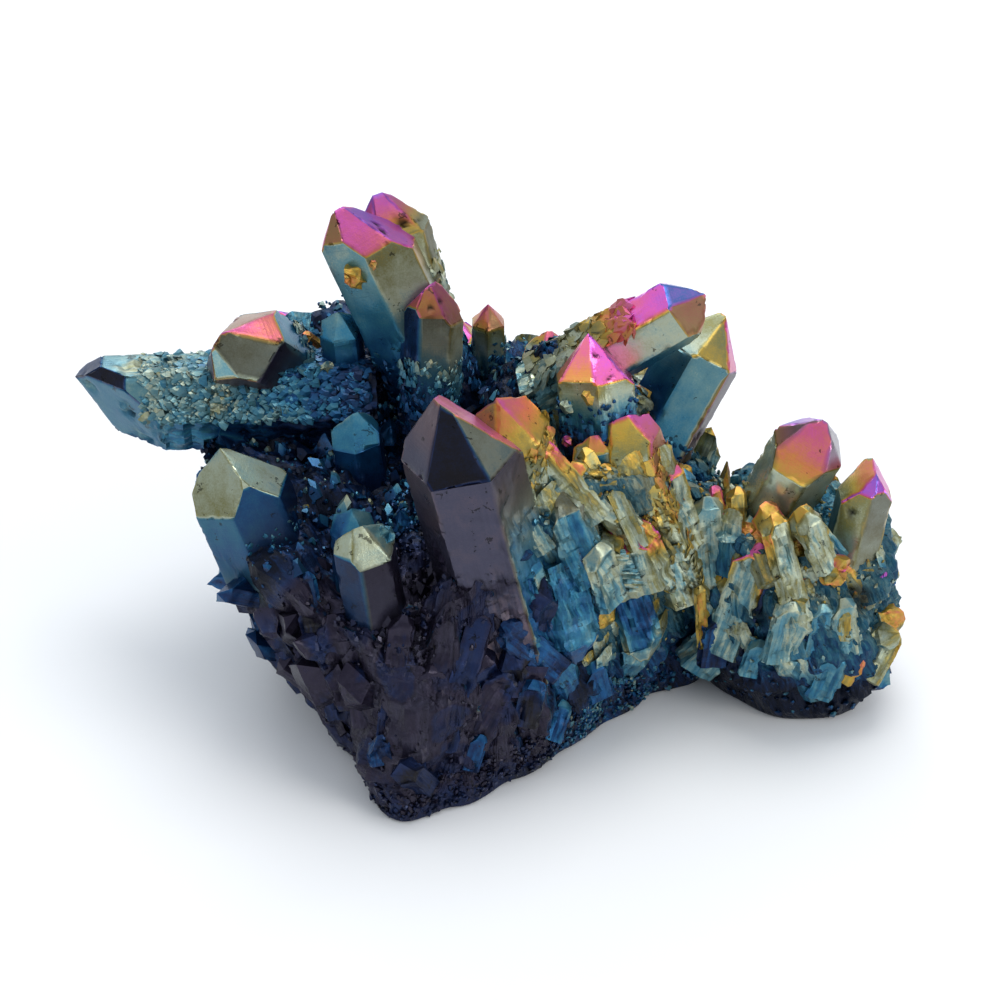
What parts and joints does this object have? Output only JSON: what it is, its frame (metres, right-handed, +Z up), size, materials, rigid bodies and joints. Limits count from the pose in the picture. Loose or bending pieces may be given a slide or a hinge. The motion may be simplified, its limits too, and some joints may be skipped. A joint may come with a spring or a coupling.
{
  "type": "titanium aura quartz cluster",
  "caption": "Free-standing cluster of metal-coated quartz crystals grown together on a lumpy matrix, with an iridescent blue, gold and magenta finish and a flat foot.",
  "frame": {"origin": "middle of the bounding box's bottom face, on the surface that the cluster stands on", "axes": "+Z up; +X along the longest extent, towards the small right lobe; -Y towards the front with the tall near tower"},
  "size_m": [0.0909, 0.0552, 0.0532],
  "materials": {
    "aura_quartz": "thin metallic interference film over quartz: navy and purple in the hollows, teal and olive on the sides, gold, orange and magenta at the points"
  },
  "bodies": {
    "root": {"quartz_cluster": "aura_quartz"}
  },
  "joints": []
}
